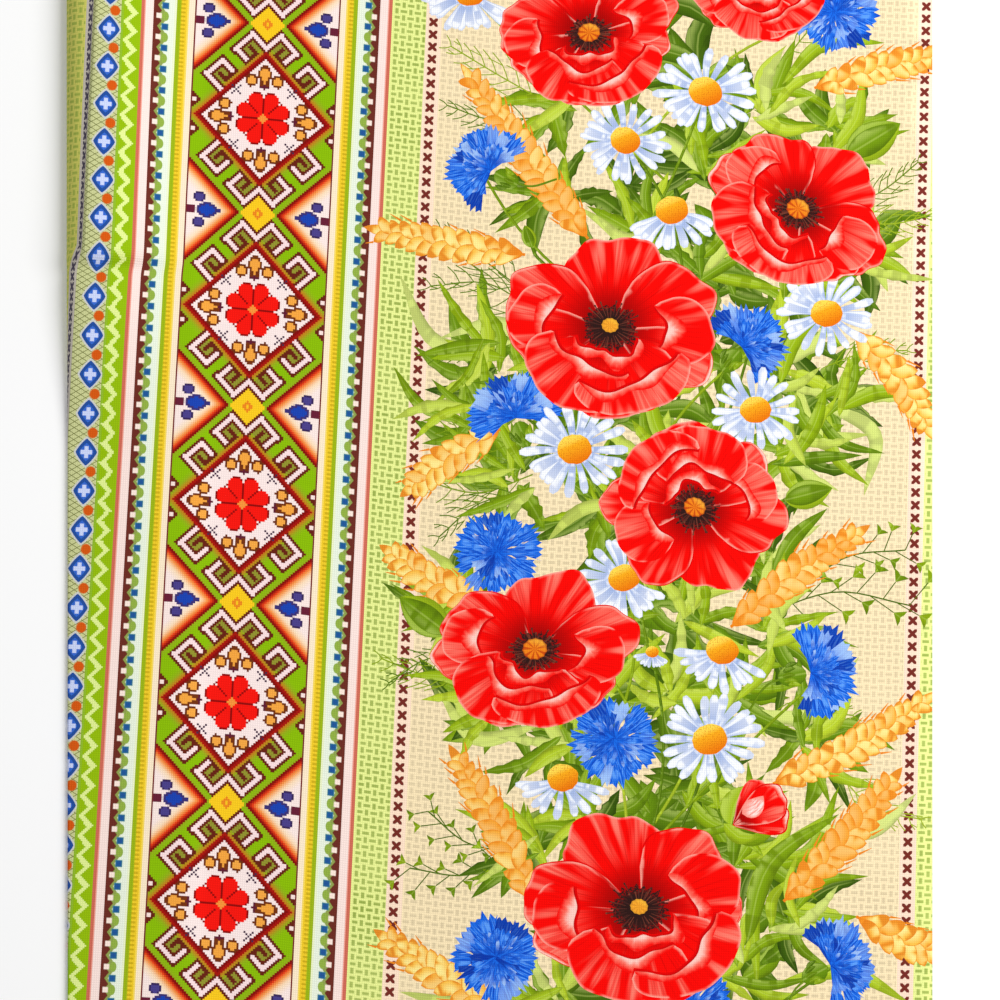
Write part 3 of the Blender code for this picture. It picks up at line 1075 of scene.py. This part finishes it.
tufts = [
    (3.4, 22.2), (3.3, 17.0), (7.8, 14.6), (11.1, 12.9), (14.6, 22.0), (18.6, 20.6), (19.5, 13.6),
    (-0.6, 8.0), (-1.4, 4.6), (3.3, 6.4), (5.5, 0.0), (15.5, 7.0), (18.3, 5.4), (16.0, 2.8),
    (14.5, -3.4), (7.7, -5.5), (10.4, -6.6), (8.7, -11.0), (5.5, -10.4), (3.3, -12.8), (10.9, -16.2),
    (4.9, -17.4), (13.4, -19.0), (11.0, 19.0), (7.0, 23.6), (9.0, 3.0), (12.6, -10.6), (1.0, 1.2),
    (15.0, -7.4), (-1.0, -11.6), (1.8, -19.2), (12.4, -25.0), (15.4, -22.6), (3.0, -27.0), (16.0, 12.0),
    (8.5, 5.2), (17.0, -13.2), (-2.0, -5.6),
]
feathers = [
    (2.0, 10.5, 2.9, 6.0), (1.5, 11.5, 2.5, 6.0), (1.8, 9.4, 3.4, 5.5), (1.8, 1.4, 3.2, 6.0),
    (2.2, 2.0, 2.8, 5.5), (1.6, 0.4, 3.6, 5.5), (2.4, 22.5, 2.6, 6.0), (2.0, 21.5, 3.0, 5.0),
    (19.6, 15.6, 0.1, 4.6), (19.6, 16.4, 0.6, 4.5), (-1.0, -9.5, 3.0, 5.5), (-1.4, -8.8, 3.4, 4.8),
    (18.4, -15.0, -0.5, 5.0), (18.0, 7.4, 0.2, 4.6), (9.0, -15.8, -0.3, 5.5), (14.2, -11.8, 0.0, 5.0),
    (16.0, 24.8, 0.6, 5.0),
]
sprigs = [(0.8, -19.2, 2.7, 5.2), (0.9, -19.4, 3.25, 5.8), (14.6, -6.2, 0.05, 7.8), (16.4, -4.9, 0.35, 6.2)]
blades = [
    (1.0, 8.8, -5.6, 12.6, 0.30, 0.95), (2.2, 6.6, -3.4, 9.0, -0.35, 0.95),
    (17.6, 5.4, 20.0, 0.2, 0.35, 0.95), (16.4, 6.6, 20.4, 3.6, -0.35, 0.9),
    (13.0, -11.6, 19.6, -8.6, -0.25, 0.95), (13.8, -26.4, 18.6, -16.6, 0.22, 0.6),
    (12.6, -20.0, 18.4, -15.6, -0.25, 0.5), (16.8, -17.8, 22.6, -16.0, -0.2, 0.98),
    (15.8, 23.4, 21.6, 25.8, 0.2, 0.6), (2.0, -12.4, -3.4, -10.4, 0.3, 0.92),
    (1.4, -26.2, -5.4, -26.6, 0.12, 0.92), (15.2, -26.0, 22.0, -27.2, 0.15, 0.7),
]


def metres(x, y):
    return x / 100, y / 100


def drawGarland():
    for k in range(30):
        y = -0.29 + 0.0196 * k
        x = 0.085 + 0.06 * y + vary(-0.040, 0.040)
        sprayOf((x, y), 7, 0.040, 0.0060, (0.0, 0.35), 5.6)
    for place in tufts:
        sprayOf(metres(*place), 9, 0.044, 0.0046, (0.0, 0.45), 5.4)
    for x, y, heading, length in feathers:
        feather(metres(x, y), heading, length / 100, vary(0.25, 0.75))
    for x, y, heading, length in sprigs:
        podSprig(metres(x, y), heading, length / 100)
    for x, y, endX, endY, sag, tone in blades:
        strip(bend(metres(x, y), metres(endX, endY), sag, 15), lance(0.0042, 0.45), "leaf", tone)
    for place in tufts:
        sprayOf(metres(*place), 8, 0.045, 0.0036, (0.3, 0.95), 2.9)
    for x, y, *others in daisies + sideDaisies + cornflowers:
        foot = (0.075 + 0.0006 * y + vary(-0.02, 0.02), y / 100 - vary(0.07, 0.11))
        stem(bend(foot, metres(x, y), vary(-0.12, 0.12), 4), 0.0008, vary(0.15, 0.8))
    strip(curve([(0.133, -0.240), (0.146, -0.198), (0.184, -0.171)], 15), lance(0.0055, 0.4), "leaf", 0.42)
    for x, y, endX, endY, orange in ears:
        wheat(metres(x, y), metres(endX, endY), (0.0, 0.5) if orange else (0.35, 1.0))
    for x, y, heading, length in buds:
        bud(metres(x, y), heading, length / 100)
    budRed((0.138, -0.170), 0.55, 0.030)
    for x, y, size, lean, side in cornflowers:
        cornflower(metres(x, y), size / 100, lean, side)
    for x, y, size, lean, spread in sideDaisies:
        daisy(metres(x, y), size / 100, lean, 0.8, spread, 9)
    for x, y, size in daisies:
        daisy(metres(x, y), size / 100, vary(-0.5, 0.5), vary(0.84, 0.95), tau, 18)
    for x, y, size, *others in poppies:
        poppy(metres(x, y), size / 100, *others)


# Making one sheet of the flat drawing: its shapes become faces, the topmost one wins, and the whole is
# carried to where the cloth lies. The reverse repeats it without the flowers.

def offLines(points, starts, run, size, ends=(0, 1)):
    # each point's way from the start of every straight line, its share of the line, and its distance
    away = points[:, None, :] - starts[None]
    share = (away * run[None]).sum(2) / size[None]
    if ends:
        share = np.clip(share, *ends)
    return away, share, np.sqrt(((away - run[None] * share[..., None]) ** 2).sum(2))


def offOutline(points, outline):
    # distance from each point to a closed outline
    run = np.roll(outline, -1, axis=0) - outline
    return offLines(points, outline, run, (run ** 2).sum(1) + 1e-18)[2].min(1)


def ownPlace(points, shape):
    # each point's place on a shape: along its spine, and across it
    spine = shape["spine"]
    run = np.diff(spine, axis=0)
    size = np.linalg.norm(run, axis=1) + 1e-9
    start = np.concatenate([[0], np.cumsum(size)])[:-1]
    away, share, gap = offLines(points, spine[:-1], run, size ** 2, (0, 1) if len(spine) > 2 else None)
    best = gap.argmin(1)
    rows = np.arange(len(points))
    cross = run[best, 0] * away[rows, best, 1] - run[best, 1] * away[rows, best, 0]
    along = (start[best] + share[rows, best] * size[best]) / size.sum()
    return along, cross / size[best] / shape["width"]


def insetRing(outline, rim):
    # every other point of an outline moved inward by rim
    before, after = np.roll(outline, 1, axis=0), np.roll(outline, -1, axis=0)
    run = after - before
    run /= np.linalg.norm(run, axis=1)[:, None] + 1e-12
    area = (outline[:, 0] * after[:, 1] - after[:, 0] * outline[:, 1]).sum()
    inward = np.stack([-run[:, 1], run[:, 0]], 1) * (1 if area > 0 else -1)
    ring = (outline + inward * rim)[::2]
    return ring[offOutline(ring, outline) > rim * 0.6]


def flatPoints():
    # the sheet's outline and the points that let it bend
    half = cloth["length"] / 2
    rows = np.arange(-half, half + 1e-6, cloth["length"] / 132)
    crease = cloth["creaseY"] + np.arange(-0.012, 0.0121, 0.0015)
    rows = np.sort(np.concatenate([rows, crease[np.abs(crease[:, None] - rows[None]).min(1) > 0.0006]]))
    # which points of a section the sheet takes, closest together where it turns most
    picks = [0, 8, 16, 24, 30, 37, 44, 51, 58, 65, 72, 78, 84, 89, 94, 99, 104, 109, 114, 118, 122, 126, 130,
             134, 138, 142, 145, 148]
    inner, top, bottom = [], [], []
    for y in rows:
        flat = section(y)[0]
        places = [flat[k] for k in picks] + list(np.arange(-0.146, 0.23, cloth["flatMesh"]))
        if y == rows[0]:
            bottom = [(x, y) for x in places]
        elif y == rows[-1]:
            top = [(x, y) for x in places]
        else:
            coarse = abs((y + half) / cloth["flatMesh"] % 1 - 0.5) > 0.3
            inner += [(x, y) for x in places[:len(picks)]]
            inner += [(x, y) for x in places[len(picks):] if coarse]
    for y in rows[1:-1]:
        if y > cloth["creaseY"] - 0.002:
            at = printed["tuckAt"] + printed["tuckLean"] * (y - 0.2)
            inner += [(at + k * printed["tuckHalf"] * 0.5, y + 0.0003) for k in (-3, -2, -1, 0, 1, 2, 3)]
    inner = [(x, y) for x, y in inner if rightEdge(y) - x > 0.004]
    leftEdge = [(section(y)[0][-1], y) for y in rows]
    right = [(rightEdge(y), y) for y in np.linspace(-half, half, 51)]
    ring = right + sorted(top, reverse=True) + leftEdge[::-1] + sorted(bottom)
    return np.array(ring), np.array(inner)


def within(points, outline):
    # which points lie inside a closed outline
    inside = np.zeros(len(points), bool)
    x, y = points[:, 0], points[:, 1]
    a = outline[-1]
    for b in outline:
        if a[1] != b[1]:
            side = (b[0] - a[0]) * (y - a[1]) / (b[1] - a[1]) + a[0]
            inside ^= ((a[1] > y) != (b[1] > y)) & (x < side)
        a = b
    return inside


def topmost(points, shapes, first=None):
    # the last shape that covers each point, or -1; first limits it to the shapes after that number
    found = np.full(len(points), -1)
    order = np.argsort(points[:, 0])
    sortedX = points[order, 0]
    for k, shape in enumerate(shapes):
        low, high = shape["outline"].min(0), shape["outline"].max(0)
        near = order[np.searchsorted(sortedX, low[0]):np.searchsorted(sortedX, high[0])]
        near = near[(points[near, 1] > low[1]) & (points[near, 1] < high[1])]
        if first is not None:
            near = near[first[near] < k]
        found[near[within(points[near], shape["outline"])]] = k
    return found


def fine(outline):
    # an outline with its long sides divided
    longest = 0.0016
    made = []
    for a, b in zip(outline, np.roll(outline, -1, axis=0)):
        pieces = max(int(np.linalg.norm(b - a) / longest), 1)
        made += [a + (b - a) * k / pieces for k in range(pieces)]
    return np.array(made)


def triangles(ring, inner, shapes):
    # splits the flat sheet along every outline that shows, and finds which shape is on top of each triangle
    points = [ring, inner]
    edges = [(k, (k + 1) % len(ring)) for k in range(len(ring))]
    if shapes:
        lines = [fine(shape["outline"]) for shape in shapes]
        numbers = np.repeat(np.arange(len(shapes)), [len(line) for line in lines])
        allPoints = np.concatenate(lines)
        hidden = topmost(allPoints, shapes, numbers) >= 0
        place = len(ring) + len(inner)
        start = 0
        for line in lines:
            ends = [start + k for k in range(len(line))]
            for c, d in zip(ends, ends[1:] + ends[:1]):
                if not (hidden[c] and hidden[d]):
                    edges.append((place + c, place + d))
            start += len(line)
        points.append(allPoints)
        for k, shape in enumerate(shapes):
            if shape["rim"] > 0.0009:
                points.append(insetRing(shape["outline"], shape["rim"]))
    points = np.concatenate(points)
    used = np.ones(len(points), bool)
    if shapes:
        used[place:place + start] = False
        used[np.array(edges).reshape(-1)] = True
    renumbered = np.cumsum(used) - 1
    flat = [Vector(p) for p in points[used] * 1000]
    sides = [(int(renumbered[c]), int(renumbered[d])) for c, d in edges]
    found = delaunay_2d_cdt(flat, sides, [], 0, 1e-4, False)
    corners = np.array([list(v) for v in found[0]]) / 1000
    faces = np.array(found[2])
    middles = corners[faces].mean(1)
    faces = faces[within(middles, ring)]
    # points left over outside the sheet are dropped
    kept, faces = np.unique(faces, return_inverse=True)
    corners, faces = corners[kept], faces.reshape(-1, 3)
    return corners, faces, topmost(corners[faces].mean(1), shapes)


def outerEdges(faces):
    # edges that belong to one triangle only, in the direction of that triangle
    seen = dict.fromkeys(edge for a, b, c in faces for edge in ((a, b), (b, c), (c, a)))
    return [edge for edge in seen if (edge[1], edge[0]) not in seen]


def makeSheet(name, lay, shapes, inks):
    ring, inner = flatPoints()
    flatTop, facesTop, owner = triangles(ring, inner, shapes)
    edges = outerEdges(facesTop)
    follow = dict(edges)
    loop = [edges[0][0]]
    while follow[loop[-1]] != loop[0]:
        loop.append(follow[loop[-1]])
    flatBack, facesBack = triangles(flatTop[loop], inner, [])[:2]
    # the reverse's outline is the same loop, so its points are found again by place
    backOf = {tuple(np.round(p * 1e6).astype(int)): i for i, p in enumerate(flatBack)}
    backLoop = [backOf[tuple(np.round(flatTop[k] * 1e6).astype(int))] for k in loop]
    count = len(flatTop)
    places = np.concatenate([lay.place(flatTop, 1), lay.place(flatBack, -1)])
    walls = []
    for k in range(len(loop)):
        a, b = loop[k], loop[(k + 1) % len(loop)]
        c, d = backLoop[k] + count, backLoop[(k + 1) % len(loop)] + count
        walls += [(b, a, c), (b, c, d)]
    faces = np.concatenate([facesTop, facesBack[:, ::-1] + count, np.array(walls)])
    mesh = bpy.data.meshes.new(name)
    mesh.from_pydata(places.tolist(), [], faces.tolist())
    flat = np.concatenate([flatTop, flatBack])
    onPrint = printPlace(flat)[faces.reshape(-1)]
    own = np.zeros((len(faces) * 3, 2))
    tone = np.zeros((len(faces) * 3, 2))
    index = np.full(len(faces), 0)
    index[len(facesTop):] = len(inks)
    for k in np.unique(owner):
        if k < 0:
            continue
        shape = shapes[k]
        rows = np.nonzero(owner == k)[0]
        corners = flatTop[facesTop[rows].reshape(-1)]
        slots = (rows[:, None] * 3 + np.arange(3)[None]).reshape(-1)
        own[slots] = np.stack(ownPlace(corners, shape), 1)
        tone[slots, 0] = shape["tone"]
        if shape["rim"] > 0:
            tone[slots, 1] = np.minimum(offOutline(corners, shape["outline"]) / shape["rim"], 1)
        index[rows] = 1 + inks.index(shape["paint"])
    for layerName, values in (("print", onPrint), ("motif", own), ("tone", tone)):
        layer = mesh.uv_layers.new(name=layerName)
        layer.data.foreach_set("uv", values.astype(np.float32).reshape(-1))
    mesh.polygons.foreach_set("material_index", index.astype(np.int32))
    mesh.polygons.foreach_set("use_smooth", np.arange(len(faces)) < len(facesTop) + len(facesBack))
    mesh.update()
    made = bpy.data.objects.new(name, mesh)
    bpy.context.scene.collection.objects.link(made)
    return made


drawGarland()
print("shapes drawn", len(drawing))
lay = Lay()
inks = {"poppy": poppyInk, "poppyShade": poppyShadeInk, "curl": curlInk, "blaze": blazeInk,
        "heart": heartInk, "stamen": stamenInk, "pod": podInk, "daisy": daisyInk, "eye": eyeInk,
        "cornflower": cornflowerInk, "wheat": wheatInk, "leaf": leafInk}
sheet = makeSheet("printedCloth", lay, drawing, list(inks))
sheet.data.materials.append(finishLinen("groundPrint", groundPrint))
for name, paint in inks.items():
    sheet.data.materials.append(finishLinen(name + "Ink", paint))
sheet.data.materials.append(finishLinen("reverse", reverseInk))
print("sheet made", len(sheet.data.polygons))

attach(sheet, "root")
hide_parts("cloth")
flatWidth = float(np.mean([rightEdge(y) - section(y)[0][-1] for y in np.linspace(-0.3, 0.3, 13)]))
print("flat width", round(flatWidth, 4))


# Floor, light and camera

scene = bpy.context.scene
studio = {
    "floorHalf": 4,
    "floorShade": 0.98,
    "floorRoughness": 0.9,
    "sky": 0.52,
    "keyPlace": (1.35, 0.5, 1.45),
    "keySize": 1.3,
    "keyPower": 38.0,
}

far = studio["floorHalf"]
floorMesh = bpy.data.meshes.new("floor")
floorMesh.from_pydata([(-far, -far, 0), (far, -far, 0), (far, far, 0), (-far, far, 0)], [], [(0, 1, 2, 3)])
floor = bpy.data.objects.new("floor", floorMesh)
scene.collection.objects.link(floor)
floorPaint = bpy.data.materials.new("floorPaint")
floorPaint.use_nodes = True
floorShader = floorPaint.node_tree.nodes["Principled BSDF"]
floorShader.inputs["Base Color"].default_value = (*[studio["floorShade"]] * 3, 1)
floorShader.inputs["Roughness"].default_value = studio["floorRoughness"]
floorMesh.materials.append(floorPaint)

world = bpy.data.worlds.new("studio")
world.use_nodes = True
background = world.node_tree.nodes["Background"]
background.inputs["Color"].default_value = (1.0, 1.0, 1.0, 1)
background.inputs["Strength"].default_value = studio["sky"]
scene.world = world

key = bpy.data.lights.new("key", "AREA")
key.shape = "SQUARE"
key.size = studio["keySize"]
key.energy = studio["keyPower"]
keyLight = bpy.data.objects.new("key", key)
keyLight.location = studio["keyPlace"]
keyLight.rotation_euler = (-Vector(studio["keyPlace"])).to_track_quat("-Z", "Y").to_euler()
scene.collection.objects.link(keyLight)

lens = bpy.data.cameras.new("view")
lens.sensor_width = camera["film"]
lens.lens = camera["film"] * camera["away"] / camera["across"]
lens.clip_start = 0.01
viewpoint = bpy.data.objects.new("view", lens)
away, lean = camera["away"], camera["lean"]
viewpoint.location = (0, -away * sin(lean), away * cos(lean))
viewpoint.rotation_euler = (lean, 0, 0)
scene.collection.objects.link(viewpoint)
scene.camera = viewpoint
scene.view_settings.view_transform = "Standard"

print("stage set")
